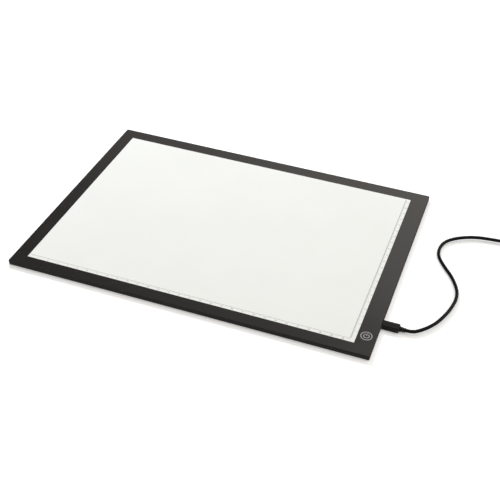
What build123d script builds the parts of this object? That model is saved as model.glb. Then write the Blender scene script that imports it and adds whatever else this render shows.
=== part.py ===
from build123d import *
import math
import os

# An A4 LED light box: a black tray and a black front frame hold a white acrylic
# drawing panel over a light guide that is lit from its front and back edges.
# A touch key in the frame dims it, and a USB lead plugs into the right side.
# Millimetres. The origin is under the middle of the pad, on the surface that it
# stands on. +X is along the long side towards the socket, +Y is the back, +Z up.

# Driving dimensions of the pad
pad_length = 340.0
pad_depth = 245.0
foot_height = 0.6
body_height = 4.4
corner_radius = 1.2
border_left = 13.2
border_right = 16.5
border_front = 11.5
border_back = 14.0

# Shell walls
floor_thickness = 0.8
frame_thickness = 1.0
cover_wall = 1.6
skirt_wall = 1.0
lip_clearance = 0.1
lip_height = 0.5
parting_height = 3.3
parting_gap = 0.1
top_edge_round = 0.4
bottom_edge_round = 0.3
rib_wall = 0.8

# Light stack, from the floor up
reflector_thickness = 0.15
guide_thickness = 1.7
diffuser_thickness = 0.15
guide_overlap = 2.5
panel_clearance = 0.12
edge_tape = 0.1

# LED bars
bar_thickness = 0.6
bar_height = 1.9
bar_tape = 0.1
led_depth = 0.7
lens_depth = 0.1
led_gap = 0.2
led_count = 44
led_pitch = 7.0
bar_length = 308.0

# Fasteners and feet
screw_head_radius = 1.5
screw_radius = 0.7
screw_length = 3.4
screw_inset = (4.0, 3.9)
boss_radius = 1.7
foot_radius = 5.0
foot_recess = 0.3
foot_inset = 16.0

# Touch key and control board
touch_x = 161.2
touch_y = -99.5
touch_ring_radius = 5.2
touch_line = 0.85
mark_radius = 2.8
mark_line = 0.8
mark_bar = 3.1
inlay_depth = 0.2
board_x = (158.2, 168.0)
board_y = (-111.5, -68.5)
board_thickness = 0.6
board_standoff = 0.75

# Socket and plug
port_y = -78.4
port_z = 2.75
socket_depth = 5.4
plug_length = 15.0
plug_width = 8.2
plug_thickness = 5.1
plug_corner = 1.3
plug_groove_length = 10.0
plug_groove_height = 0.9
plug_groove_depth = 0.4
relief_length = 5.5
relief_groove = 0.6
relief_groove_depth = 0.35
usb_contact_pitch = 0.65
grip_grooves = 5
grip_pitch = 2.2

# Cord: it leaves the plug, springs just clear of the surface except midway, and ends
# in a tied coil, from which a short tail goes to the USB-A plug.
cord_diameter = 3.2
cord_route = [
    (190.7, -78.4, 2.75),
    (196.5, -78.4, 2.75),
    (202.5, -74.0, 2.8),
    (208.5, -67.5, 2.8),
    (215.0, -57.5, 2.8),
    (222.0, -38.0, 2.8),
    (225.0, -16.5, 2.7),
    (217.0, 4.5, 2.2),
    (203.5, 22.5, 1.8),
    (195.5, 36.0, 1.8),
    (196.5, 54.5, 2.3),
    (208.0, 66.5, 2.8),
    (226.0, 75.0, 2.8),
    (243.5, 77.0, 2.8),
    (259.0, 78.5, 2.7),
    (273.5, 79.0, 2.6),
    (287.0, 79.5, 2.5),
]
coil_x = 290.0
coil_y = 53.0
coil_mid_radius = 19.0
coil_turns_per_layer = 4.625
coil_lift = 0.8
tail_route = [
    (316.4, 49.0, 5.6),
    (316.8, 35.0, 5.1),
    (314.0, 18.0, 4.3),
    (315.7, 0.0, 4.0),
    (315.7, -15.0, 4.0),
]
tie_thickness = 0.8
tie_arc = 20.0
tie_angles = (225.0, 45.0)

# USB-A plug at the cord's far end, lying along -Y
usb_a_relief_length = 10.0
usb_a_body_length = 22.0
usb_a_body_width = 15.5
usb_a_body_thickness = 8.0
usb_a_shell_length = 18.75
usb_a_shell_width = 12.0
usb_a_shell_height = 4.5
shell_wall = 0.3

# Heights worked out from the above
pad_top = foot_height + body_height
half_length = pad_length / 2
half_depth = pad_depth / 2
floor_top = foot_height + floor_thickness
reflector_top = floor_top + reflector_thickness
guide_top = reflector_top + guide_thickness
diffuser_top = guide_top + diffuser_thickness
frame_under = pad_top - frame_thickness
board_bottom = floor_top + board_standoff
board_top = board_bottom + board_thickness

# The window in the frame, and the light stack under it
window_x = (-half_length + border_left, half_length - border_right)
window_y = (-half_depth + border_front, half_depth - border_back)
guide_x = (window_x[0] - guide_overlap, window_x[1] + guide_overlap)
guide_y = (window_y[0] - guide_overlap, window_y[1] + guide_overlap)

UP = (Align.CENTER, Align.CENTER, Align.MIN)

os.makedirs("parts", exist_ok=True)


def finish(builder, name):
    """Label a finished piece and write it."""
    builder.part.label = name
    export_step(builder.part, f"parts/{name}.step")


def middle(span):
    return (span[0] + span[1]) / 2


def grown(span, by):
    return (span[0] - by, span[1] + by)


def block(x, y, z, mode=Mode.ADD):
    """A box between two limits along each axis."""
    with Locations((middle(x), middle(y), z[0])):
        Box(x[1] - x[0], y[1] - y[0], z[1] - z[0], align=UP, mode=mode)


def slab(inset, z, mode=Mode.ADD):
    """The pad's outline, moved inwards by inset, between two heights."""
    radius = max(corner_radius - inset, 0.8)
    with BuildSketch(Plane.XY.offset(z[0])) as outline:
        RectangleRounded(pad_length - 2 * inset, pad_depth - 2 * inset, radius)
    extrude(outline.sketch, amount=z[1] - z[0], mode=mode)


def upright(x, y, z, radius, mode=Mode.ADD):
    """A vertical cylinder between two heights."""
    with Locations((x, y, z[0])):
        Cylinder(radius, z[1] - z[0], align=UP, mode=mode)


def bend_radii(route):
    """The radius of each corner of a route, as large as its two runs allow."""
    radii = []
    for before, at, after in zip(route, route[1:], route[2:]):
        run_in = Vector(*at) - Vector(*before)
        run_out = Vector(*after) - Vector(*at)
        half_turn = math.radians(run_in.get_angle(run_out)) / 2
        shorter = min(run_in.length, run_out.length)
        radii.append(0.45 * shorter / math.tan(half_turn))
    return radii


def tube(route, diameter):
    """A round cord along a route of straight runs joined by arcs."""
    with BuildLine() as route_line:
        FilletPolyline(*route, radius=bend_radii(route))
    path = route_line.wires()[0]
    with BuildSketch(Plane(path @ 0, z_dir=path % 0)) as section:
        Circle(diameter / 2)
    sweep(section.sketch, path=path)
    return path.length


# Fastener, foot and LED positions
corner_screw_x = half_length - screw_inset[0]
long_side_y = half_depth - screw_inset[1]
screw_places = [
    (x, y)
    for y in (-long_side_y, long_side_y)
    for x in (-corner_screw_x, -57.0, 57.0, corner_screw_x)
]
screw_places += [(-corner_screw_x, 0.0), (corner_screw_x, 0.0)]
foot_places = {
    "foot_front_left": (-half_length + foot_inset, -half_depth + foot_inset),
    "foot_front_right": (half_length - foot_inset, -half_depth + foot_inset),
    "foot_back_left": (-half_length + foot_inset, half_depth - foot_inset),
    "foot_back_right": (half_length - foot_inset, half_depth - foot_inset),
}
board_pins = [
    (x, y)
    for x in (board_x[0] + 1.6, board_x[1] - 1.6)
    for y in (board_y[0] + 1.6, board_y[1] - 1.6)
]
bar_x = (middle(window_x) - bar_length / 2, middle(window_x) + bar_length / 2)
first_led = middle(bar_x) - (led_count - 1) / 2 * led_pitch
led_places = [first_led + i * led_pitch for i in range(led_count)]
# Each side: the guide's edge and the direction away from it
bar_sides = {"front": (guide_y[0], -1), "back": (guide_y[1], 1)}
stop_y = led_gap + led_depth + bar_thickness + bar_tape


def outward(edge, way, start, end):
    """The Y span from start to end, measured outwards from the guide's edge."""
    return tuple(sorted((edge + way * start, edge + way * end)))


port_notch_x = (half_length - cover_wall - 0.2, half_length + 0.1)
port_notch_y = (port_y - 4.0, port_y + 4.0)
head_top = foot_height + 0.1
head_depth = screw_head_radius - screw_radius
head_sink = screw_head_radius + 0.2
boss_bottom = floor_top + 0.9
wire_x = (162.0, 163.2)
clip_y = (-45.0, 15.0, 75.0)

with BuildPart() as back_cover:
    slab(0.0, (foot_height, parting_height))
    fillet(back_cover.faces().sort_by(Axis.Z)[0].edges(), bottom_edge_round)
    slab(skirt_wall + lip_clearance, (parting_height, parting_height + lip_height))
    slab(cover_wall, (floor_top, parting_height + lip_height), Mode.SUBTRACT)
    for edge, way in bar_sides.values():
        rib_y = outward(edge, way, stop_y, stop_y + rib_wall)
        block(grown(bar_x, 1.5), rib_y, (floor_top, diffuser_top))
    for x in (guide_x[0] - 0.9, guide_x[1] + 0.8):
        for y in (-73.0, 0.0, 73.0):
            block((x - 0.5, x + 0.5), (y - 29.0, y + 29.0), (floor_top, guide_top))
    for x, y in screw_places:
        upright(x, y, (floor_top, floor_top + 0.8), boss_radius + 0.4)
        upright(x, y, (foot_height, floor_top + 0.8), screw_radius + 0.25, Mode.SUBTRACT)
        with Locations((x, y, foot_height)):
            Cone(head_sink, screw_radius + 0.25, head_depth, align=UP, mode=Mode.SUBTRACT)
    for x, y in foot_places.values():
        recess_z = (foot_height, foot_height + foot_recess)
        upright(x, y, recess_z, foot_radius + 0.1, Mode.SUBTRACT)
    for x, y in board_pins:
        upright(x, y, (floor_top, board_bottom), 1.4)
        upright(x, y, (board_bottom, board_top), 0.6)
        upright(x, y, (board_top, board_top + 0.6), 1.1)
    for y in clip_y:
        for x in (wire_x[0] - 1.0, wire_x[1] + 1.0):
            block((x - 0.4, x + 0.4), (y - 1.2, y + 1.2), (floor_top, floor_top + 1.4))
    block(port_notch_x, port_notch_y, (floor_top + 0.1, frame_under), Mode.SUBTRACT)
finish(back_cover, "back_cover")


def power_symbol():
    """The touch key's mark: a ring around a broken ring and a bar."""
    with Locations((touch_x, touch_y)):
        Circle(touch_ring_radius)
        Circle(touch_ring_radius - touch_line, mode=Mode.SUBTRACT)
        Circle(mark_radius)
        Circle(mark_radius - mark_line, mode=Mode.SUBTRACT)
    with Locations((touch_x, touch_y + mark_radius)):
        Rectangle(mark_radius - 1.0, mark_radius, mode=Mode.SUBTRACT)
    with Locations((touch_x, touch_y + mark_radius * 0.6)):
        Rectangle(mark_line, mark_bar)


with BuildPart() as front_frame:
    slab(0.0, (parting_height + parting_gap, pad_top))
    fillet(front_frame.faces().sort_by(Axis.Z)[-1].edges(), top_edge_round)
    slab(skirt_wall, (parting_height, frame_under), Mode.SUBTRACT)
    block(window_x, window_y, (frame_under - 0.1, pad_top + 0.1), Mode.SUBTRACT)
    block(grown(guide_x, 0.9), grown(guide_y, 0.9), (diffuser_top + 0.05, frame_under))
    block(guide_x, guide_y, (diffuser_top, frame_under), Mode.SUBTRACT)
    for x, y in screw_places:
        upright(x, y, (boss_bottom, frame_under), boss_radius)
        upright(x, y, (boss_bottom, frame_under + 0.3), screw_radius, Mode.SUBTRACT)
    block(port_notch_x, port_notch_y, (parting_height, frame_under), Mode.SUBTRACT)
    with BuildSketch(Plane.XY.offset(pad_top - inlay_depth)) as symbol_pocket:
        power_symbol()
    extrude(amount=inlay_depth, mode=Mode.SUBTRACT)
finish(front_frame, "front_frame")

with BuildPart() as touch_symbol:
    with BuildSketch(Plane.XY.offset(pad_top - inlay_depth)) as symbol:
        power_symbol()
    extrude(amount=inlay_depth)
finish(touch_symbol, "touch_symbol")

with BuildPart() as drawing_panel:
    block(grown(guide_x, -0.2), grown(guide_y, -0.2), (diffuser_top, frame_under))
    seen_x = grown(window_x, -panel_clearance)
    seen_y = grown(window_y, -panel_clearance)
    block(seen_x, seen_y, (frame_under, pad_top))
finish(drawing_panel, "drawing_panel")

with BuildPart() as diffuser_sheet:
    block(grown(guide_x, -0.1), grown(guide_y, -0.1), (guide_top, diffuser_top))
finish(diffuser_sheet, "diffuser_sheet")

with BuildPart() as light_guide:
    block(guide_x, guide_y, (reflector_top, guide_top))
finish(light_guide, "light_guide")

with BuildPart() as reflector_sheet:
    block(grown(guide_x, -0.1), grown(guide_y, -0.1), (floor_top, reflector_top))
finish(reflector_sheet, "reflector_sheet")

for side, edge_x in (("left", guide_x[0] - edge_tape), ("right", guide_x[1])):
    with BuildPart() as side_tape:
        block((edge_x, edge_x + edge_tape), grown(guide_y, -2.0), (reflector_top, guide_top))
    finish(side_tape, f"edge_tape_{side}")

bar_bottom = diffuser_top - bar_height
led_z = middle((reflector_top, guide_top))
for side, (edge, way) in bar_sides.items():
    bar_start = led_gap + led_depth
    bar_y = outward(edge, way, bar_start, bar_start + bar_thickness)
    with BuildPart() as led_bar:
        block(bar_x, bar_y, (bar_bottom, diffuser_top))
    finish(led_bar, f"led_bar_{side}")
    with BuildPart() as leds:
        body_y = outward(edge, way, led_gap + lens_depth, bar_start)
        lens_y = outward(edge, way, led_gap, led_gap + lens_depth)
        with Locations(*[(x, middle(body_y), led_z) for x in led_places]):
            Box(4.0, led_depth - lens_depth, 1.4)
        with Locations(*[(x, middle(lens_y), led_z) for x in led_places]):
            Box(3.2, lens_depth, 1.0)
    finish(leds, f"leds_{side}")
    with BuildPart() as tape:
        block(
            grown(bar_x, -2.0),
            outward(edge, way, bar_start + bar_thickness, stop_y),
            (bar_bottom + 0.2, diffuser_top - 0.2),
        )
    finish(tape, f"bar_tape_{side}")

socket_mouth = half_length - 0.4
socket_x = (socket_mouth - socket_depth, socket_mouth)
with BuildPart() as control_board:
    block(board_x, board_y, (board_bottom, board_top))
    block(
        (socket_x[0] - 0.2, board_x[1] + 0.1),
        (port_y - 4.0, port_y + 4.0),
        (board_bottom - 0.1, board_top + 0.1),
        Mode.SUBTRACT,
    )
    for x, y in board_pins:
        upright(x, y, (board_bottom - 0.1, board_top + 0.1), 0.7, Mode.SUBTRACT)
finish(control_board, "control_board")


def on_board(x, y, size, raised=0.0):
    """A box of a given size centred over a place on the board."""
    with Locations((x, y, board_top + raised)):
        Box(*size, align=UP)


with BuildPart() as touch_chip:
    chip_x, chip_y = (162.6, -89.5)
    on_board(chip_x, chip_y, (3.9, 4.9, 0.9), raised=0.1)
    for i in range(4):
        lead_y = chip_y + (i - 1.5) * 1.27
        on_board(chip_x, lead_y, (6.0, 0.4, 0.25))
finish(touch_chip, "touch_chip")

with BuildPart() as dimmer_transistor:
    on_board(160.6, -84.6, (2.9, 1.3, 0.9), raised=0.1)
    for x, y in ((159.65, -85.6), (161.55, -85.6), (160.6, -83.6)):
        on_board(x, y, (0.4, 1.0, 0.2))
finish(dimmer_transistor, "dimmer_transistor")

with BuildPart() as board_capacitors:
    for y in (-81.5, -78.5):
        on_board(160.6, y, (3.2, 1.6, 1.0))
    on_board(160.6, -75.0, (3.5, 2.8, 1.1))
finish(board_capacitors, "board_capacitors")

with BuildPart() as board_resistors:
    for y in (-105.4, -95.2, -93.4):
        for x in (160.6, 164.2):
            on_board(x, y, (2.0, 1.2, 0.5))
finish(board_resistors, "board_resistors")

with BuildPart() as touch_foam:
    upright(touch_x, touch_y, (board_top, frame_under - 0.1), 2.9)
finish(touch_foam, "touch_foam")

with BuildPart() as touch_foil:
    upright(touch_x, touch_y, (frame_under - 0.1, frame_under), 4.2)
finish(touch_foil, "touch_foil")

# Wires from the control board to the end of each LED bar
wire_diameter = 0.7
wire_z = board_top + 0.1 + wire_diameter / 2
bar_end_x = bar_x[1]
front_bar_y = guide_y[0] - led_gap - led_depth - bar_thickness / 2
back_bar_y = guide_y[1] + led_gap + led_depth + bar_thickness / 2
laid_z = floor_top + 0.1 + wire_diameter / 2
upper_joint_z = 2.95
lower_joint_z = 2.0
red_x, black_x = wire_x
wire_routes = {
    "wire_front_red": [
        (red_x, -107.5, wire_z),
        (red_x, -112.6, wire_z),
        (158.8, front_bar_y, upper_joint_z),
        (bar_end_x, front_bar_y, upper_joint_z),
    ],
    "wire_front_black": [
        (black_x, -107.5, wire_z),
        (black_x, -112.4, wire_z),
        (160.2, front_bar_y, lower_joint_z),
        (bar_end_x, front_bar_y, lower_joint_z),
    ],
    "wire_back_red": [
        (red_x, -72.5, wire_z),
        (red_x, -66.0, wire_z),
        (red_x, -60.0, laid_z),
        (red_x, 104.0, laid_z),
        (157.6, back_bar_y, lower_joint_z),
        (bar_end_x, back_bar_y, lower_joint_z),
    ],
    "wire_back_black": [
        (black_x, -72.5, wire_z),
        (black_x, -65.5, wire_z),
        (black_x, -59.5, laid_z),
        (black_x, 105.5, laid_z),
        (159.2, back_bar_y, upper_joint_z),
        (bar_end_x, back_bar_y, upper_joint_z),
    ],
}
for name, route in wire_routes.items():
    with BuildPart() as wire:
        tube(route, wire_diameter)
    finish(wire, name)

with BuildPart() as case_screws:
    for x, y in screw_places:
        with Locations((x, y, head_top)):
            Cone(screw_head_radius, screw_radius, head_depth, align=UP)
        upright(x, y, (head_top + head_depth, head_top + screw_length), screw_radius)
        with Locations((x, y, head_top)):
            Box(1.8, 0.4, 0.5, align=UP, mode=Mode.SUBTRACT)
            Box(0.4, 1.8, 0.5, align=UP, mode=Mode.SUBTRACT)
finish(case_screws, "case_screws")

for name, (x, y) in foot_places.items():
    with BuildPart() as foot:
        upright(x, y, (0.0, foot_height + foot_recess), foot_radius)
        fillet(foot.faces().sort_by(Axis.Z)[0].edges(), 0.4)
    finish(foot, name)


# Socket and plug. Their sections lie across X, with the wide side of the plug up.
def port_plane(x):
    return Plane(origin=(x, port_y, port_z), x_dir=(0, 1, 0), z_dir=(1, 0, 0))


def port_outline(size, mode=Mode.ADD):
    """A rectangle of a width and height, with its two lower corners bevelled."""
    width, height, bevel = size
    half_width = width / 2
    half_height = height / 2
    with BuildLine() as outline:
        Polyline(
            (-half_width, half_height),
            (half_width, half_height),
            (half_width, bevel - half_height),
            (half_width - bevel, -half_height),
            (bevel - half_width, -half_height),
            (-half_width, bevel - half_height),
            close=True,
        )
    make_face(outline.edges(), mode=mode)


def port_block(x, y, z, mode=Mode.ADD):
    """A box given across X and Y from the middle of the port."""
    block(x, (port_y + y[0], port_y + y[1]), (port_z + z[0], port_z + z[1]), mode)


socket_inside = (7.0, 1.95, 0.82)
socket_outside = (7.5, 2.45, 0.95)
plug_outside = (6.85, 1.8, 0.78)
plug_inside = (6.35, 1.3, 0.62)
plug_face = half_length + 0.2
plug_tip = socket_x[0] + 1.4
plug_shell_back = plug_face + 1.8
socket_rear = socket_x[0] + 1.1
contact_places = [(i - 2) * usb_contact_pitch for i in range(5)]

with BuildPart() as usb_socket_shell:
    with BuildSketch(port_plane(socket_x[0])):
        port_outline(socket_outside)
        port_outline(socket_inside, Mode.SUBTRACT)
    extrude(amount=socket_depth)
    for x in (socket_x[0] + 0.6, socket_x[0] + 2.6):
        for y in ((-5.2, -3.6), (3.6, 5.2)):
            port_block((x, x + 1.0), y, (0.0, 0.2))
finish(usb_socket_shell, "usb_socket_shell")

with BuildPart() as usb_socket_tongue:
    with BuildSketch(port_plane(socket_x[0])):
        port_outline(socket_inside)
    extrude(amount=socket_rear - socket_x[0])
    port_block((socket_rear, socket_rear + 3.4), (-1.9, 1.9), (0.1, 0.58))
finish(usb_socket_tongue, "usb_socket_tongue")

with BuildPart() as usb_socket_contacts:
    for y in contact_places:
        port_block((socket_rear, socket_rear + 3.0), (y - 0.15, y + 0.15), (0.0, 0.1))
finish(usb_socket_contacts, "usb_socket_contacts")

with BuildPart() as plug_shell:
    with BuildSketch(port_plane(plug_tip)):
        port_outline(plug_outside)
        port_outline(plug_inside, Mode.SUBTRACT)
    extrude(amount=plug_shell_back - plug_tip)
finish(plug_shell, "plug_shell")

with BuildPart() as plug_core:
    with BuildSketch(port_plane(plug_shell_back - 1.0)):
        port_outline(plug_inside)
    extrude(amount=1.0)
    port_block((plug_tip + 0.2, plug_shell_back - 1.0), (-1.9, 1.9), (-0.65, -0.25))
finish(plug_core, "plug_core")

with BuildPart() as plug_contacts:
    for y in contact_places:
        port_block((plug_tip + 0.4, plug_shell_back - 1.0), (y - 0.15, y + 0.15), (-0.25, -0.12))
finish(plug_contacts, "plug_contacts")

plug_back = plug_face + plug_length
with BuildPart() as plug_body:
    with BuildSketch(port_plane(plug_face)):
        RectangleRounded(plug_width, plug_thickness, plug_corner)
    extrude(amount=plug_length)
    fillet(plug_body.faces().sort_by(Axis.X)[-1].edges(), 0.6)
    fillet(plug_body.faces().sort_by(Axis.X)[0].edges(), 0.4)
    for side in (-1, 1):
        groove_y = port_y + side * plug_width / 2
        with Locations((plug_face + plug_length / 2, groove_y, port_z)):
            Box(
                plug_groove_length,
                2 * plug_groove_depth,
                plug_groove_height,
                mode=Mode.SUBTRACT,
            )
    with BuildSketch(port_plane(plug_face)) as plug_pocket:
        port_outline(plug_outside)
    extrude(plug_pocket.sketch, amount=plug_shell_back - plug_face, mode=Mode.SUBTRACT)
finish(plug_body, "plug_body")


def relief(origin, along, length, wide, narrow, grooves):
    """A strain relief's profile, tapered and grooved, revolved about the cord."""
    points = [(0.0, 0.0), (wide, 0.0)]
    for i in range(grooves):
        groove_middle = (i + 1) * length / (grooves + 1)
        start = groove_middle - relief_groove / 2
        end = groove_middle + relief_groove / 2
        radius = wide + (narrow - wide) * groove_middle / length
        floor = radius - relief_groove_depth
        points += [(radius, start), (floor, start), (floor, end), (radius, end)]
    points += [(narrow, length), (0.0, length)]
    up = Vector(0, 0, 1)
    side = up.cross(Vector(*along))
    with BuildSketch(Plane(origin=origin, x_dir=up, z_dir=side)) as profile:
        with BuildLine() as outline:
            Polyline(*points, close=True)
        make_face(outline.edges())
    revolve(profile.sketch, axis=Axis(origin, along))


with BuildPart() as plug_relief:
    relief((plug_back, port_y, port_z), (1, 0, 0), relief_length, 2.5, 1.95, 3)
finish(plug_relief, "plug_relief")

# The cord
cord_radius = cord_diameter / 2
coil_half_width = coil_turns_per_layer * cord_diameter / 2 + cord_radius
coil_r = (coil_mid_radius - coil_half_width, coil_mid_radius + coil_half_width)
coil_z = (coil_lift, coil_lift + 2 * cord_diameter)
cord_pieces = {"usb_cord": cord_route, "cord_tail": tail_route}
for name, route in cord_pieces.items():
    with BuildPart() as cord:
        length = tube(route, cord_diameter)
    finish(cord, name)
    section = math.pi * cord_radius**2
    radii = ", ".join(f"{radius:.1f}" for radius in bend_radii(route))
    print(f"{name}: length {length:.1f}, bend radii {radii}")
    print(f"{name}: volume {cord.part.volume:.1f}, section x length {section * length:.1f}")
turns_length = 2 * coil_turns_per_layer * 2 * math.pi * coil_mid_radius
print(f"coil: {2 * coil_turns_per_layer} turns, {turns_length:.1f} of cord")


def ring_section(r, z, corner):
    """A rounded rectangle between two radii from the coil's middle."""
    with BuildSketch(Plane.XZ.offset(-coil_y)) as section:
        with Locations((coil_x + middle(r), middle(z))):
            RectangleRounded(r[1] - r[0], z[1] - z[0], corner)
    return section.sketch


coil_axis = Axis((coil_x, coil_y, 0), (0, 0, 1))
with BuildPart() as cord_coil:
    revolve(ring_section(coil_r, coil_z, 1.7), axis=coil_axis)
finish(cord_coil, "cord_coil")

for i, angle in enumerate(tie_angles):
    with BuildPart() as tie:
        outside = ring_section(grown(coil_r, tie_thickness), grown(coil_z, tie_thickness), 2.4)
        inside = ring_section(coil_r, coil_z, 1.7)
        start = angle - tie_arc / 2
        outside = outside.rotate(coil_axis, start)
        inside = inside.rotate(coil_axis, start)
        revolve(outside, axis=coil_axis, revolution_arc=tie_arc)
        revolve(inside, axis=coil_axis, revolution_arc=tie_arc, mode=Mode.SUBTRACT)
    finish(tie, f"cord_tie_{i + 1}")

# USB-A plug, lying along -Y with its cord end to the back
usb_a_x, usb_a_start, usb_a_z = tail_route[-1]


def usb_a_box(width, y, height, raised=0.0, radius=0.0, mode=Mode.ADD):
    """A box on the plug's axis, between two distances from the cord's end."""
    start = (usb_a_x, usb_a_start - y[0], usb_a_z)
    with BuildSketch(Plane(origin=start, x_dir=(-1, 0, 0), z_dir=(0, -1, 0))) as section:
        with Locations((0, raised)):
            if radius:
                RectangleRounded(width, height, radius)
            else:
                Rectangle(width, height)
    extrude(section.sketch, amount=y[1] - y[0], mode=mode)


usb_a_body_y = (usb_a_relief_length, usb_a_relief_length + usb_a_body_length)
usb_a_shell_y = (usb_a_body_y[1] - 2.0, usb_a_body_y[1] + usb_a_shell_length)

with BuildPart() as usb_a_relief:
    relief(tail_route[-1], (0, -1, 0), usb_a_relief_length, 3.3, 2.1, 4)
finish(usb_a_relief, "usb_a_relief")

with BuildPart() as usb_a_body:
    usb_a_box(usb_a_body_width, usb_a_body_y, usb_a_body_thickness, radius=1.8)
    fillet(usb_a_body.faces().sort_by(Axis.Y)[-1].edges(), 0.8)
    fillet(usb_a_body.faces().sort_by(Axis.Y)[0].edges(), 0.4)
    pocket_y = (usb_a_shell_y[0], usb_a_body_y[1])
    usb_a_box(usb_a_shell_width, pocket_y, usb_a_shell_height, mode=Mode.SUBTRACT)
    for i in range(grip_grooves):
        groove_y = usb_a_start - usb_a_body_y[0] - 5.0 - i * grip_pitch
        for side in (-1, 1):
            with Locations((usb_a_x + side * usb_a_body_width / 2, groove_y, usb_a_z)):
                Box(0.8, 0.9, 4.6, mode=Mode.SUBTRACT)
finish(usb_a_body, "usb_a_body")

with BuildPart() as usb_a_shell:
    usb_a_box(usb_a_shell_width, usb_a_shell_y, usb_a_shell_height)
    inside_width = usb_a_shell_width - 2 * shell_wall
    inside_height = usb_a_shell_height - 2 * shell_wall
    usb_a_box(inside_width, usb_a_shell_y, inside_height, mode=Mode.SUBTRACT)
    for x in (-2.9, 2.9):
        with Locations((usb_a_x + x, usb_a_start - usb_a_shell_y[1] + 7.0, usb_a_z)):
            Box(2.2, 2.2, usb_a_shell_height + 1.0, mode=Mode.SUBTRACT)
finish(usb_a_shell, "usb_a_shell")

with BuildPart() as usb_a_core:
    core_back = usb_a_shell_y[0] + 2.0
    usb_a_box(inside_width, (usb_a_shell_y[0], core_back), inside_height)
    usb_a_box(inside_width, (core_back, usb_a_shell_y[1] - 0.4), 1.8, raised=-1.05)
finish(usb_a_core, "usb_a_core")

with BuildPart() as usb_a_contacts:
    for x in (-3.5, -1.2, 1.2, 3.5):
        with Locations((usb_a_x + x, usb_a_start - usb_a_shell_y[1] + 5.4, usb_a_z - 0.15)):
            Box(1.1, 8.0, 0.15, align=UP)
finish(usb_a_contacts, "usb_a_contacts")
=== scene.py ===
import math

import bmesh
import bpy
from mathutils import Matrix, Vector


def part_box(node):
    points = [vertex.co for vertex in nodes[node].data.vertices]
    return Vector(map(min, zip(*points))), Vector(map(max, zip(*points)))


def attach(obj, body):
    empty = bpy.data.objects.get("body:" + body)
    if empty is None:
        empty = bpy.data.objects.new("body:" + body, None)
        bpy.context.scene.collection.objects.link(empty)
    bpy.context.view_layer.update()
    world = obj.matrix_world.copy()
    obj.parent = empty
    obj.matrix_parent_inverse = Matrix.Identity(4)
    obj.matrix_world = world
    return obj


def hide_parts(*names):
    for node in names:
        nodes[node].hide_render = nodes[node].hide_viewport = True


# The looks of an A4 LED light box: the finish of each part of the CAD frame, the
# scale printed on its drawing panel, its USB lead with the coil and the coil's ties,
# and a white studio. Metres, in the CAD's own frame: +X to the socket, +Y to the back.

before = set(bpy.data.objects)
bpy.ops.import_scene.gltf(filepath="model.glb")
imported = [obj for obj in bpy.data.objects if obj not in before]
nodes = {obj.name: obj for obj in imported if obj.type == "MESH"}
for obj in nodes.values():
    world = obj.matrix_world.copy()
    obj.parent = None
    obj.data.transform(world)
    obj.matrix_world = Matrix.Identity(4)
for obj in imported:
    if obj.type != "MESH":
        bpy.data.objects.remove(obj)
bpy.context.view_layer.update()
MM = 0.001

# Camera: it looks at TARGET from AZIMUTH round from the front and ELEVATION up.
TARGET = Vector((0.04819, -0.01460, 0.001))
AZIMUTH = math.radians(17.501)
ELEVATION = math.radians(38.865)
ROLL = math.radians(2.616)
DISTANCE = 0.87425
LENS = 66.63
SHIFT_X = -0.0459

# The lead, with the route of part.py
CORD_DIAMETER = 3.2 * MM
CORD_ROUTE = [
    (0.1907, -0.0784, 0.00275),
    (0.1965, -0.0784, 0.00275),
    (0.2025, -0.0740, 0.0028),
    (0.2085, -0.0675, 0.0028),
    (0.2150, -0.0575, 0.0028),
    (0.2220, -0.0380, 0.0028),
    (0.2250, -0.0165, 0.0027),
    (0.2170, 0.0045, 0.0022),
    (0.2035, 0.0225, 0.0018),
    (0.1955, 0.0360, 0.0018),
    (0.1965, 0.0545, 0.0023),
    (0.2080, 0.0665, 0.0028),
    (0.2260, 0.0750, 0.0028),
    (0.2435, 0.0770, 0.0028),
    (0.2590, 0.0785, 0.0027),
    (0.2735, 0.0790, 0.0026),
]
TAIL_ROUTE = [
    (0.3164, 0.0490, 0.0056),
    (0.3168, 0.0350, 0.0051),
    (0.3140, 0.0180, 0.0043),
    (0.3157, 0.0000, 0.0040),
    (0.3157, -0.0150, 0.0040),
]
COIL_CENTRE = Vector((0.290, 0.053, 0.0))
COIL_OUTER_TURN = 26.3 * MM
COIL_LAYER_TURNS = 4.625
COIL_FIRST_LAYER = 2.4 * MM
COIL_CLIMB_TURNS = 0.5
STEPS_PER_TURN = 16

# The printed scale, measured inwards from the frame's window
FRONT_INSET = 4.0 * MM
FRONT_LINE = 0.22 * MM
FRONT_TICK = 0.11 * MM
SIDE_INSET = 4.6 * MM
SIDE_LINE = 0.36 * MM
SIDE_TICK = 0.28 * MM
TICK_LENGTHS = {10: 1.9 * MM, 5: 1.4 * MM, 1: 0.9 * MM}
LINE_GAP = 1.5 * MM
FIGURE_HEIGHT = 1.7 * MM
FIGURE_SHARE = 0.72  # a figure's height over its type size
FIGURE_INSET = 0.9 * MM
FIGURE_SIDE_INSET = 0.5 * MM
INK_THICKNESS = 0.02 * MM
PANEL_OVERLAP = 2.3 * MM

# The studio
FLOOR_REACH = 30.0
KEY_PLACE = (-0.74, 1.00, 1.00)
KEY_SIZE = 0.42
KEY_WATTS = 15.4

# The bevel on the edges of moulded pieces, the ties and the feet
SOFTENED = [
    (0.25 * MM, "cord_tie_1", "cord_tie_2"),
    (0.12 * MM, "usb_a_body", "usb_a_relief"),
    (0.10 * MM, "plug_body", "plug_relief"),
    (0.10 * MM, "foot_front_left", "foot_front_right", "foot_back_left", "foot_back_right"),
]


# ---------------------------------------------------------------- shader helpers

def feed(tree, socket, value):
    """Links another node's output to a socket, or sets the socket's own value."""
    if isinstance(value, bpy.types.NodeSocket):
        tree.links.new(value, socket)
    else:
        socket.default_value = value


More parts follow.
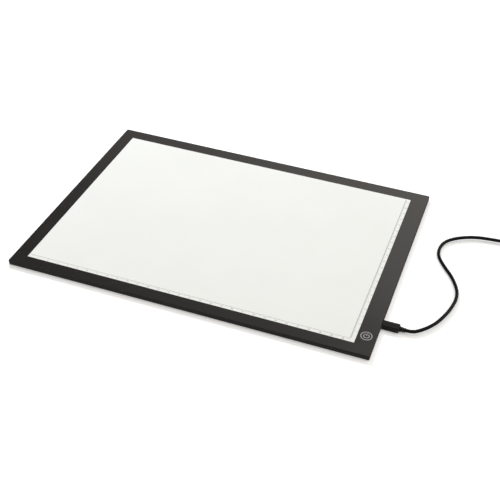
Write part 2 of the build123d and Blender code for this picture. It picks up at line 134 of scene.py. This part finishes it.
def add(tree, kind, inputs=None, **settings):
    """A shader node with its settings, each input either a value or another node's output."""
    node = tree.nodes.new(kind)
    for name, value in settings.items():
        setattr(node, name, value)
    for name, value in (inputs or {}).items():
        feed(tree, node.inputs[name], value)
    return node


def start_material(name):
    """An empty material with a Principled shader, and the place on the object as a vector."""
    material = bpy.data.materials.new(name)
    material.use_nodes = True
    tree = material.node_tree
    tree.nodes.clear()
    output = tree.nodes.new("ShaderNodeOutputMaterial")
    shader = tree.nodes.new("ShaderNodeBsdfPrincipled")
    tree.links.new(shader.outputs["BSDF"], output.inputs["Surface"])
    place = add(tree, "ShaderNodeTexCoord").outputs["Object"]
    return material, tree, shader, place


def noise(tree, place, size, detail=3.0, roughness=0.55):
    """Noise whose blobs are about size across, from 0 to 1."""
    inputs = {"Vector": place, "Scale": 1.0 / size, "Detail": detail, "Roughness": roughness}
    return add(tree, "ShaderNodeTexNoise", inputs).outputs["Fac"]


def stretched(tree, place, factors, turn=(0.0, 0.0, 0.0)):
    """The place, scaled along each axis, for patterns that run one way."""
    inputs = {"Vector": place, "Scale": factors, "Rotation": turn}
    return add(tree, "ShaderNodeMapping", inputs).outputs["Vector"]


def spread(tree, value, low, high, to_low, to_high):
    """A value moved smoothly from one range to another, and held at its ends."""
    inputs = {
        "Value": value, "From Min": low, "From Max": high, "To Min": to_low, "To Max": to_high,
    }
    made = add(tree, "ShaderNodeMapRange", inputs, interpolation_type="SMOOTHSTEP")
    return made.outputs["Result"]


def calculate(tree, operation, *values):
    """A Math node over one, two or three values."""
    made = add(tree, "ShaderNodeMath", operation=operation)
    for socket, value in zip(made.inputs, values):
        feed(tree, socket, value)
    return made.outputs["Value"]


def calculate_vector(tree, operation, *vectors):
    """A Vector Math node over one or two vectors."""
    made = add(tree, "ShaderNodeVectorMath", operation=operation)
    for socket, vector in zip(made.inputs, vectors):
        feed(tree, socket, vector)
    return made.outputs


def blend_colours(tree, share, first, second):
    """The first colour where share is 0 and the second where it is 1."""
    made = add(tree, "ShaderNodeMix", data_type="RGBA")
    # Its sockets by place, because the ones for numbers and vectors have the same names.
    for place, value in ((0, share), (6, first), (7, second)):
        feed(tree, made.inputs[place], value)
    return made.outputs[2]


def bump(tree, height, depth):
    """A normal that is raised by a height from 0 to 1 of a given depth."""
    inputs = {"Height": height, "Strength": 1.0, "Distance": depth}
    return add(tree, "ShaderNodeBump", inputs).outputs["Normal"]


def rgba(colour, factor=1.0):
    """A colour made brighter or darker by a factor, with full alpha."""
    return tuple(min(channel * factor, 1.0) for channel in colour) + (1.0,)


def set_up(tree, shader, **values):
    """Shader inputs by their names with underscores for spaces."""
    for name, value in values.items():
        feed(tree, shader.inputs[name.replace("_", " ")], value)


# ---------------------------------------------------------------- materials

def moulded(name, colour, gloss, grain, grain_depth, wear=0.15, specular=0.5):
    """Moulded plastic: a fine grain, faint mottling, and rubbed places that shine more."""
    material, tree, shader, place = start_material(name)
    mottle = noise(tree, place, 9 * MM, detail=4.0)
    tone = spread(tree, mottle, 0.3, 0.7, 0.0, 1.0)
    patches = noise(tree, place, 28 * MM, detail=6.0, roughness=0.65)
    rubbed = spread(tree, patches, 0.45, 0.75, 0.0, 1.0)
    grains = noise(tree, place, grain, detail=2.0)
    worn_gloss = calculate(tree, "MULTIPLY_ADD", rubbed, -wear * gloss, gloss)
    rough = calculate(tree, "MULTIPLY_ADD", grains, 0.08, worn_gloss)
    set_up(
        tree, shader,
        Base_Color=blend_colours(tree, tone, rgba(colour, 0.86), rgba(colour, 1.12)),
        Roughness=rough,
        Normal=bump(tree, grains, grain_depth),
        Specular_IOR_Level=specular,
    )
    return material


def metal(name, colour, gloss, brushed_along=(1.0, 1.0, 1.0), tarnish=None):
    """Plated metal with a fine drawn grain, and dull patches where it has been handled."""
    material, tree, shader, place = start_material(name)
    grain = noise(tree, stretched(tree, place, brushed_along), 0.25 * MM, detail=4.0)
    handled = spread(tree, noise(tree, place, 2.4 * MM, detail=5.0), 0.42, 0.72, 0.0, 1.0)
    dull = tarnish or tuple(channel * 0.72 for channel in colour)
    drawn = spread(tree, grain, 0.3, 0.7, gloss, gloss + 0.12)
    rough = calculate(tree, "MULTIPLY_ADD", handled, 0.16, drawn)
    set_up(
        tree, shader,
        Base_Color=blend_colours(tree, handled, rgba(colour), rgba(dull)),
        Metallic=1.0,
        Roughness=rough,
        Normal=bump(tree, grain, 0.006 * MM),
    )
    return material


def frame_black():
    """Satin black acrylic: orange-peel, hairline rubs, settled dust, a matt worn rim, and painted
    shade that darkens the rim.
    """
    material, tree, shader, place = start_material("frame_black")
    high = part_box("front_frame")[1]
    parts = add(tree, "ShaderNodeSeparateXYZ", {"Vector": place}).outputs
    along_x = calculate(tree, "SUBTRACT", high.x, calculate(tree, "ABSOLUTE", parts["X"]))
    along_y = calculate(tree, "SUBTRACT", high.y, calculate(tree, "ABSOLUTE", parts["Y"]))
    from_rim = calculate(tree, "MINIMUM", along_x, along_y)
    matt_rim_and_painted_shade = spread(tree, from_rim, 0.15 * MM, 0.6 * MM, 1.0, 0.0)
    patches = noise(tree, place, 6 * MM, detail=6.0, roughness=0.7)
    worn = calculate(tree, "MULTIPLY", matt_rim_and_painted_shade, spread(tree, patches, 0.45, 0.68, 0.0, 1.0))
    peel = noise(tree, place, 1.6 * MM, detail=2.0)
    fine = noise(tree, place, 0.22 * MM, detail=1.0)
    slanted = stretched(tree, place, (0.05, 1.0, 1.0), (0.0, 0.0, 0.5))
    hairs = noise(tree, slanted, 0.35 * MM, detail=3.0)
    hairlines = spread(tree, hairs, 0.60, 0.68, 0.0, 1.0)
    cells = {"Vector": place, "Scale": 1.0 / (7 * MM), "Randomness": 1.0}
    specks = add(tree, "ShaderNodeTexVoronoi", cells)
    dust = spread(tree, specks.outputs["Distance"], 0.012, 0.03, 1.0, 0.0)
    wiped = stretched(tree, place, (0.6, 1.0, 1.0), (0.0, 0.0, -0.7))
    smears = spread(tree, noise(tree, wiped, 45 * MM, detail=5.0), 0.42, 0.70, 0.0, 1.0)
    clean, smeared = (0.0105, 0.0100, 0.0098, 1.0), (0.0135, 0.0127, 0.0122, 1.0)
    black = blend_colours(tree, smears, clean, smeared)
    # Painted shade: the outer rim, within about 0.6 mm of the edge, is painted a deeper black
    # than the top.
    black = blend_colours(tree, matt_rim_and_painted_shade, black, (0.0035, 0.0033, 0.0032, 1.0))
    thin_wear = calculate(tree, "MULTIPLY", worn, 0.08)
    black = blend_colours(tree, thin_wear, black, (0.05, 0.05, 0.05, 1.0))
    thin_dust = calculate(tree, "MULTIPLY", dust, 0.35)
    black = blend_colours(tree, thin_dust, black, (0.20, 0.19, 0.18, 1.0))
    rough = calculate(tree, "MULTIPLY_ADD", smears, 0.05, 0.13)
    rough = calculate(tree, "MULTIPLY_ADD", hairlines, 0.06, rough)
    rough = calculate(tree, "MULTIPLY_ADD", matt_rim_and_painted_shade, 0.72, rough)
    height = calculate(tree, "MULTIPLY_ADD", fine, 0.25, peel)
    set_up(
        tree, shader,
        Base_Color=black,
        Roughness=rough,
        Normal=bump(tree, height, 0.006 * MM),
        Specular_IOR_Level=0.5,
    )
    return material


def panel_white():
    """White satin acrylic: it scatters light, and has a very fine matt etch and faint rubs."""
    material, tree, shader, place = start_material("panel_white")
    etch = noise(tree, place, 0.3 * MM, detail=2.0)
    cloud = spread(tree, noise(tree, place, 70 * MM, detail=3.0), 0.35, 0.65, 0.0, 1.0)
    slanted = stretched(tree, place, (0.08, 1.0, 1.0), (0.0, 0.0, 0.9))
    rubs = spread(tree, noise(tree, slanted, 0.9 * MM, detail=4.0), 0.58, 0.72, 0.0, 1.0)
    rough = calculate(tree, "MULTIPLY_ADD", rubs, -0.06, 0.42)
    darker, paler = (0.806, 0.831, 0.823, 1.0), (0.820, 0.845, 0.837, 1.0)
    set_up(
        tree, shader,
        Base_Color=blend_colours(tree, cloud, darker, paler),
        Roughness=rough,
        Normal=bump(tree, etch, 0.003 * MM),
        Subsurface_Weight=0.08,
        Subsurface_Radius=(1.0, 1.0, 0.9),
        Subsurface_Scale=1.5 * MM,
        Specular_IOR_Level=0.5,
    )
    return material


def ink(name, colour):
    """Screen-printed ink: slightly uneven cover with a dry surface."""
    material, tree, shader, place = start_material(name)
    cover = noise(tree, place, 0.5 * MM, detail=3.0)
    set_up(
        tree, shader,
        Base_Color=blend_colours(tree, cover, rgba(colour, 0.85), rgba(colour, 1.15)),
        Roughness=spread(tree, cover, 0.3, 0.7, 0.5, 0.65),
        Normal=bump(tree, cover, 0.002 * MM),
    )
    return material


def film(name, colour, sheen=0.0, gloss=0.5):
    """Thin sheet or tape: nearly even, with faint ripples across it."""
    material, tree, shader, place = start_material(name)
    ripple = noise(tree, stretched(tree, place, (0.4, 1.0, 1.0)), 12 * MM, detail=3.0)
    fibre = noise(tree, place, 0.4 * MM, detail=2.0)
    set_up(
        tree, shader,
        Base_Color=blend_colours(tree, ripple, rgba(colour, 0.95), rgba(colour, 1.03)),
        Roughness=spread(tree, fibre, 0.3, 0.7, gloss, gloss + 0.15),
        Normal=bump(tree, ripple, 0.02 * MM),
        Sheen_Weight=sheen,
    )
    return material


def dot_grid(tree, place, pitch, radius):
    """1 inside round dots on a square grid, 0 between them."""
    cells = calculate_vector(tree, "DIVIDE", place, (pitch, pitch, pitch))[0]
    inside = calculate_vector(tree, "FRACTION", cells)[0]
    offset = calculate_vector(tree, "SUBTRACT", inside, (0.5, 0.5, 0.5))[0]
    flat = calculate_vector(tree, "MULTIPLY", offset, (1.0, 1.0, 0.0))[0]
    away = calculate_vector(tree, "LENGTH", flat)["Value"]
    return spread(tree, away, radius / pitch, radius / pitch + 0.05, 1.0, 0.0)


def guide_clear():
    """Clear acrylic with the white dots that throw its light upwards."""
    material, tree, shader, place = start_material("guide_clear")
    dots = dot_grid(tree, place, 2.0 * MM, 0.45 * MM)
    flaw = noise(tree, place, 15 * MM, detail=3.0)
    set_up(
        tree, shader,
        Base_Color=blend_colours(tree, dots, (0.84, 0.92, 0.90, 1.0), (0.95, 0.95, 0.94, 1.0)),
        Roughness=spread(tree, dots, 0.0, 1.0, 0.06, 0.6),
        Normal=bump(tree, flaw, 0.01 * MM),
        Transmission_Weight=0.7,
        IOR=1.49,
    )
    return material


def led_yellow(name, node, outwards):
    """White LED housings with a yellow phosphor window on the side that faces the guide."""
    material, tree, shader, place = start_material(name)
    low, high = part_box(node)
    face = high.y if outwards < 0 else low.y
    across = add(tree, "ShaderNodeSeparateXYZ", {"Vector": place}).outputs["Y"]
    from_face = calculate(tree, "ABSOLUTE", calculate(tree, "SUBTRACT", across, face))
    window = spread(tree, from_face, 0.09 * MM, 0.11 * MM, 1.0, 0.0)
    powder = noise(tree, place, 0.2 * MM, detail=3.0)
    phosphor = blend_colours(tree, powder, (0.80, 0.62, 0.12, 1.0), (0.93, 0.80, 0.25, 1.0))
    set_up(
        tree, shader,
        Base_Color=blend_colours(tree, window, (0.82, 0.82, 0.80, 1.0), phosphor),
        Roughness=spread(tree, powder, 0.3, 0.7, 0.28, 0.42),
        Normal=bump(tree, powder, 0.004 * MM),
    )
    return material


def board_green():
    """Green solder mask over copper tracks, which show as paler raised lines."""
    material, tree, shader, place = start_material("board_green")
    wander = noise(tree, place, 5 * MM, detail=1.0)
    waves = {
        "Vector": place, "Scale": 1.0 / (8 * MM),
        "Distortion": 6.0, "Detail": 1.0, "Detail Scale": 0.7,
    }
    bands = add(
        tree, "ShaderNodeTexWave", waves, wave_type="BANDS", bands_direction="X",
    ).outputs["Fac"]
    tracks = spread(tree, bands, 0.55, 0.62, 0.0, 1.0)
    weave = noise(tree, place, 0.5 * MM, detail=2.0)
    mask = blend_colours(tree, wander, (0.008, 0.085, 0.030, 1.0), (0.012, 0.120, 0.045, 1.0))
    set_up(
        tree, shader,
        Base_Color=blend_colours(tree, tracks, mask, (0.030, 0.210, 0.080, 1.0)),
        Roughness=spread(tree, weave, 0.3, 0.7, 0.26, 0.40),
        Normal=bump(tree, tracks, 0.03 * MM),
    )
    return material


def ceramic_tan():
    """Chip capacitors: speckled tan ceramic."""
    material, tree, shader, place = start_material("ceramic_tan")
    speckle = noise(tree, place, 0.15 * MM, detail=4.0)
    set_up(
        tree, shader,
        Base_Color=blend_colours(tree, speckle, (0.42, 0.29, 0.17, 1.0), (0.60, 0.45, 0.29, 1.0)),
        Roughness=spread(tree, speckle, 0.3, 0.7, 0.42, 0.60),
        Normal=bump(tree, speckle, 0.01 * MM),
    )
    return material


def rubber(name, colour, gloss, texture, depth, dust=0.25, specular=0.5):
    """Rubber or soft plastic: fine uneven skin that holds a little pale dust."""
    material, tree, shader, place = start_material(name)
    skin = noise(tree, place, texture, detail=3.0)
    patches = noise(tree, place, 5 * MM, detail=6.0, roughness=0.7)
    settled = spread(tree, patches, 0.50, 0.78, 0.0, dust)
    clean = blend_colours(tree, skin, rgba(colour, 0.85), rgba(colour, 1.2))
    dusty = rgba(tuple(channel * 2.2 + 0.02 for channel in colour))
    set_up(
        tree, shader,
        Base_Color=blend_colours(tree, settled, clean, dusty),
        Roughness=spread(tree, skin, 0.3, 0.7, gloss - 0.05, gloss + 0.08),
        Normal=bump(tree, skin, depth),
        Specular_IOR_Level=specular,
    )
    return material


def tie_cloth():
    """Hook-and-loop tape: a nap of fine loops over a ribbed weave, with painted shade in the
    grooves between the ribs.
    """
    material, tree, shader, place = start_material("tie_cloth")
    loops = add(tree, "ShaderNodeTexVoronoi", {"Vector": place, "Scale": 1.0 / (0.45 * MM)})
    fuzz = noise(tree, place, 0.2 * MM, detail=4.0)
    turned = stretched(tree, place, (1.0, 1.0, 1.0), (0.0, 0.0, math.pi / 4))
    waves = {"Vector": turned, "Scale": 0.3 / MM, "Distortion": 0.6, "Detail": 2.0}
    ribs = add(
        tree, "ShaderNodeTexWave", waves, wave_type="BANDS", bands_direction="Y",
    ).outputs["Fac"]
    nap = calculate(tree, "ADD", loops.outputs["Distance"], fuzz)
    height = calculate(tree, "MULTIPLY_ADD", ribs, 1.2, nap)
    # Painted shade: the colour follows the ribs' height, darker in the grooves and paler on the
    # rib tops, and the fuzz adds a random tone.
    rib_tone_and_painted_shade = calculate(tree, "MULTIPLY", ribs, fuzz)
    dark, pale = (0.006, 0.006, 0.0065, 1.0), (0.030, 0.029, 0.031, 1.0)
    set_up(
        tree, shader,
        Base_Color=blend_colours(tree, rib_tone_and_painted_shade, dark, pale),
        Roughness=0.9,
        Normal=bump(tree, height, 0.12 * MM),
        Sheen_Weight=0.25,
        Sheen_Roughness=0.5,
        Specular_IOR_Level=0.3,
    )
    return material


def soften(node, width):
    """Rounds the sharp edges of a moulded or stamped piece a little."""
    weld = node.modifiers.new("weld", "WELD")
    weld.merge_threshold = 0.001 * MM
    bevel = node.modifiers.new("bevel", "BEVEL")
    bevel.width = width
    bevel.segments = 2
    bevel.limit_method = "ANGLE"
    bevel.angle_limit = math.radians(40.0)
    bevel.harden_normals = True


def finish_nodes():
    """Gives every CAD node its material, and the soft edges of the moulded ones."""
    cover = moulded(
        "cover_black", (0.0070, 0.0066, 0.0064), 0.6, 0.5 * MM, 0.03 * MM, specular=0.26,
    )
    chip = moulded("chip_black", (0.020, 0.020, 0.021), 0.5, 0.15 * MM, 0.006 * MM)
    core = moulded("core_black", (0.018, 0.018, 0.018), 0.45, 0.3 * MM, 0.008 * MM)
    plug = moulded(
        "plug_black", (0.0060, 0.0052, 0.0048), 0.36, 0.35 * MM, 0.012 * MM, specular=0.16,
    )
    shell = metal("shell_steel", (0.62, 0.61, 0.60), 0.18, (0.15, 1.0, 1.0))
    gold = metal("contact_gold", (0.83, 0.60, 0.25), 0.16)
    reflector = film("reflector_white", (0.92, 0.92, 0.92), gloss=0.35)
    tape = film("tape_white", (0.78, 0.77, 0.74), sheen=0.2, gloss=0.6)
    bar = film("bar_white", (0.82, 0.82, 0.80), gloss=0.3)
    foot = rubber("foot_rubber", (0.020, 0.020, 0.020), 0.7, 0.6 * MM, 0.03 * MM, dust=0.5)
    red = rubber("wire_red", (0.45, 0.02, 0.02), 0.35, 0.5 * MM, 0.01 * MM, dust=0.1)
    black = rubber("wire_black", (0.018, 0.018, 0.018), 0.35, 0.5 * MM, 0.01 * MM, dust=0.1)
    foam = rubber("foam_grey", (0.09, 0.09, 0.095), 0.9, 0.4 * MM, 0.15 * MM)
    screw = metal("screw_steel", (0.16, 0.16, 0.165), 0.30, tarnish=(0.07, 0.065, 0.06))
    cloth = tie_cloth()
    finishes = [
        (cover, "back_cover"),
        (frame_black(), "front_frame"),
        (ink("symbol_grey", (0.31, 0.31, 0.315)), "touch_symbol"),
        (panel_white(), "drawing_panel"),
        (film("diffuser_white", (0.90, 0.90, 0.90), gloss=0.6), "diffuser_sheet"),
        (guide_clear(), "light_guide"),
        (reflector, "reflector_sheet", "edge_tape_left", "edge_tape_right"),
        (bar, "led_bar_front", "led_bar_back"),
        (led_yellow("led_front", "leds_front", -1), "leds_front"),
        (led_yellow("led_back", "leds_back", 1), "leds_back"),
        (tape, "bar_tape_front", "bar_tape_back"),
        (board_green(), "control_board"),
        (chip, "touch_chip", "dimmer_transistor", "board_resistors"),
        (ceramic_tan(), "board_capacitors"),
        (foam, "touch_foam"),
        (red, "wire_front_red", "wire_back_red"),
        (black, "wire_front_black", "wire_back_black"),
        (screw, "case_screws"),
        (foot, "foot_front_left", "foot_front_right", "foot_back_left", "foot_back_right"),
        (shell, "usb_socket_shell", "plug_shell", "usb_a_shell"),
        (core, "usb_socket_tongue", "plug_core", "usb_a_core"),
        (gold, "touch_foil", "usb_socket_contacts", "plug_contacts", "usb_a_contacts"),
        (plug, "plug_body", "plug_relief", "usb_a_relief", "usb_a_body"),
        (cloth, "cord_tie_1", "cord_tie_2"),
    ]
    for material, *names in finishes:
        for name in names:
            materials = nodes[name].data.materials
            materials.clear()
            materials.append(material)
    for width, *names in SOFTENED:
        for name in names:
            soften(nodes[name], width)


# ---------------------------------------------------------------- the printed scale

def add_box(mesh, low, high):
    """A box between two corners, added to a bmesh."""
    size = [b - a for a, b in zip(low, high)]
    middle = [(a + b) / 2 for a, b in zip(low, high)]
    place = Matrix.Translation(middle) @ Matrix.Diagonal((*size, 1.0))
    bmesh.ops.create_cube(mesh, size=1.0, matrix=place)


def add_figure(mesh, text, place, align):
    """A number as flat raised ink, added to a bmesh."""
    curve = bpy.data.curves.new("figure", "FONT")
    curve.body = text
    curve.size = FIGURE_HEIGHT / FIGURE_SHARE
    curve.align_x = align
    curve.extrude = INK_THICKNESS / 2
    curve.resolution_u = 3
    holder = bpy.data.objects.new("figure", curve)
    flat = bpy.data.meshes.new_from_object(holder)
    flat.transform(Matrix.Translation((place[0], place[1], place[2] + INK_THICKNESS / 2)))
    mesh.from_mesh(flat)
    bpy.data.objects.remove(holder)
    bpy.data.curves.remove(curve)
    bpy.data.meshes.remove(flat)


def tick_length(millimetre):
    """Long at whole centimetres, middling at halves, and short at the rest."""
    for step, length in TICK_LENGTHS.items():
        if millimetre % step == 0:
            return length
    return 0.0


def print_scale(pad_top, window_low, window_high):
    """A centimetre scale along the panel's front edge and another up its right edge."""
    mesh = bmesh.new()
    top = pad_top + INK_THICKNESS
    line_y = window_low.y + FRONT_INSET
    line_x = window_high.x - SIDE_INSET
    thick, half = FRONT_LINE / 2, SIDE_LINE / 2
    start = (window_low.x + LINE_GAP, line_y - thick, pad_top)
    add_box(mesh, start, (line_x + half, line_y + thick, top))
    end = (line_x + half, window_high.y - LINE_GAP, top)
    add_box(mesh, (line_x - half, line_y + thick, pad_top), end)
    front_marks = round((line_x - window_low.x) / MM)
    for mark in range(2, front_marks):
        x = window_low.x + mark * MM
        end = line_y - thick
        low = (x - FRONT_TICK / 2, end - tick_length(mark), pad_top)
        add_box(mesh, low, (x + FRONT_TICK / 2, end, top))
        if mark % 10 == 0:
            place = (x, window_low.y + FIGURE_INSET, pad_top)
            add_figure(mesh, str(mark // 10), place, "CENTER")
    side_marks = int((window_high.y - line_y) / MM)
    for mark in range(1, side_marks - 1):
        y = line_y + mark * MM
        start = (line_x + half, y - SIDE_TICK / 2, pad_top)
        end = (line_x + half + tick_length(mark), y + SIDE_TICK / 2, top)
        add_box(mesh, start, end)
        if mark % 10 == 0:
            place = (window_high.x - FIGURE_SIDE_INSET, y - FIGURE_HEIGHT / 2, pad_top)
            add_figure(mesh, str(mark // 10), place, "RIGHT")
    data = bpy.data.meshes.new("printed_scale")
    mesh.to_mesh(data)
    mesh.free()
    data.materials.append(ink("scale_ink", (0.30, 0.31, 0.32)))
    scale = bpy.data.objects.new("printed_scale", data)
    bpy.context.scene.collection.objects.link(scale)
    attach(scale, "pad")


# ---------------------------------------------------------------- the lead

def coil_points():
    """Control points of the coil's turns: inwards in one layer, then back out on top of it."""
    points = []
    control_reach = 1.0 / math.cos(math.pi / STEPS_PER_TURN)
    last_step = round(2 * COIL_LAYER_TURNS * STEPS_PER_TURN)
    for step in range(last_step):
        turns = (step + 0.5) / STEPS_PER_TURN
        angle = math.pi / 2 - turns * 2 * math.pi
        in_layer = turns if turns < COIL_LAYER_TURNS else 2 * COIL_LAYER_TURNS - turns
        radius = (COIL_OUTER_TURN - in_layer * CORD_DIAMETER) * control_reach
        climb = min(max((turns - COIL_LAYER_TURNS) / COIL_CLIMB_TURNS + 0.5, 0.0), 1.0)
        height = COIL_FIRST_LAYER + CORD_DIAMETER * climb * climb * (3 - 2 * climb)
        reach = Vector((math.cos(angle), math.sin(angle), 0.0)) * radius
        points.append(COIL_CENTRE + reach + Vector((0.0, 0.0, height)))
    return points


def make_cord():
    """The cord as one tube, from the plug's relief through the coil to the USB-A plug."""
    points = [Vector(p) for p in CORD_ROUTE] + coil_points() + [Vector(p) for p in TAIL_ROUTE]
    curve = bpy.data.curves.new("usb_lead", "CURVE")
    curve.dimensions = "3D"
    spline = curve.splines.new("NURBS")
    spline.points.add(len(points) - 1)
    for point, place in zip(spline.points, points):
        point.co = (*place, 1.0)
    spline.order_u = 3
    spline.use_endpoint_u = True
    spline.resolution_u = 10
    spline.use_smooth = True
    curve.bevel_depth = CORD_DIAMETER / 2
    curve.bevel_resolution = 6
    curve.use_fill_caps = True
    curve.materials.append(rubber(
        "cord_black", (0.0020, 0.0020, 0.0020), 0.28, 0.8 * MM, 0.012 * MM,
        dust=0.02, specular=0.12,
    ))
    cord = bpy.data.objects.new("usb_lead", curve)
    bpy.context.scene.collection.objects.link(cord)
    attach(cord, "lead")
    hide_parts("usb_cord", "cord_coil", "cord_tail")
    return cord


# ---------------------------------------------------------------- studio

def make_floor():
    """A wide white floor that is a little brighter than paper, as in a product photograph."""
    mesh = bmesh.new()
    bmesh.ops.create_grid(mesh, x_segments=8, y_segments=8, size=FLOOR_REACH)
    data = bpy.data.meshes.new("floor")
    mesh.to_mesh(data)
    mesh.free()
    material, tree, shader, place = start_material("floor_white")
    paper = noise(tree, place, 0.4, detail=2.0)
    darker, paler = (0.900, 0.925, 0.950, 1.0), (0.920, 0.945, 0.970, 1.0)
    set_up(
        tree, shader,
        Base_Color=blend_colours(tree, paper, darker, paler),
        Roughness=0.9,
        Specular_IOR_Level=0.1,
        Emission_Color=(1.0, 1.0, 1.0, 1.0),
        Emission_Strength=0.25,
    )
    data.materials.append(material)
    floor = bpy.data.objects.new("floor", data)
    bpy.context.scene.collection.objects.link(floor)


def make_world():
    """A white screen low at the back, brighter to the right, with a soft light overhead."""
    world = bpy.data.worlds.new("studio")
    world.use_nodes = True
    bpy.context.scene.world = world
    tree = world.node_tree
    tree.nodes.clear()
    direction = add(tree, "ShaderNodeTexCoord").outputs["Generated"]
    parts = add(tree, "ShaderNodeSeparateXYZ", {"Vector": direction}).outputs
    rightwards = calculate(tree, "MULTIPLY_ADD", parts["X"], 2.2, 1.42)
    level = calculate(tree, "MINIMUM", calculate(tree, "MAXIMUM", rightwards, 0.15), 1.3)
    above_edge = calculate(tree, "MULTIPLY_ADD", parts["X"], -0.37, parts["Z"])
    screen = spread(tree, above_edge, 0.700, 0.730, 1.0, 0.52)
    to_the_back = spread(tree, parts["Y"], -0.2, 0.5, 0.4, 1.0)
    brightness = calculate(tree, "MULTIPLY", level, screen)
    brightness = calculate(tree, "MULTIPLY", brightness, to_the_back)
    overhead = spread(tree, parts["Z"], 0.78, 0.92, 0.0, 1.0)
    brightness = calculate(tree, "ADD", brightness, overhead)
    inputs = {"Color": (1.0, 0.95, 0.89, 1.0), "Strength": brightness}
    background = add(tree, "ShaderNodeBackground", inputs)
    output = tree.nodes.new("ShaderNodeOutputWorld")
    tree.links.new(background.outputs["Background"], output.inputs["Surface"])


def aim(thing, place, target):
    """Puts a light at a place and points it at a target."""
    thing.location = place
    thing.rotation_euler = (Vector(target) - Vector(place)).to_track_quat("-Z", "Y").to_euler()


def make_key_light():
    """One large soft light, high and to the back left."""
    light = bpy.data.lights.new("key", "AREA")
    light.shape = "DISK"
    light.size = KEY_SIZE
    light.energy = KEY_WATTS
    light.color = (0.94, 0.98, 1.0)
    key = bpy.data.objects.new("key", light)
    bpy.context.scene.collection.objects.link(key)
    key.visible_glossy = False
    aim(key, KEY_PLACE, (0.0, 0.0, 0.0))


def make_camera():
    """The camera, turned about its own axis by ROLL."""
    back = Vector((
        math.sin(AZIMUTH) * math.cos(ELEVATION),
        -math.cos(AZIMUTH) * math.cos(ELEVATION),
        math.sin(ELEVATION),
    ))
    right = Vector((0.0, 0.0, 1.0)).cross(back).normalized()
    up = back.cross(right)
    rolled_right = right * math.cos(ROLL) + up * math.sin(ROLL)
    rolled_up = up * math.cos(ROLL) - right * math.sin(ROLL)
    data = bpy.data.cameras.new("camera")
    data.lens = LENS
    data.sensor_width = 36.0
    data.shift_x = SHIFT_X
    data.clip_start = 0.01
    camera = bpy.data.objects.new("camera", data)
    bpy.context.scene.collection.objects.link(camera)
    turned = Matrix((rolled_right, rolled_up, back)).transposed().to_4x4()
    camera.matrix_world = Matrix.Translation(TARGET + back * DISTANCE) @ turned
    bpy.context.scene.camera = camera


make_camera()
finish_nodes()
panel_low, panel_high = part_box("drawing_panel")
under_frame = Vector((PANEL_OVERLAP, PANEL_OVERLAP, 0.0))
print_scale(panel_high.z, panel_low + under_frame, panel_high - under_frame)
cord = make_cord()
make_floor()
make_world()
make_key_light()
bpy.context.scene.view_settings.view_transform = "Standard"
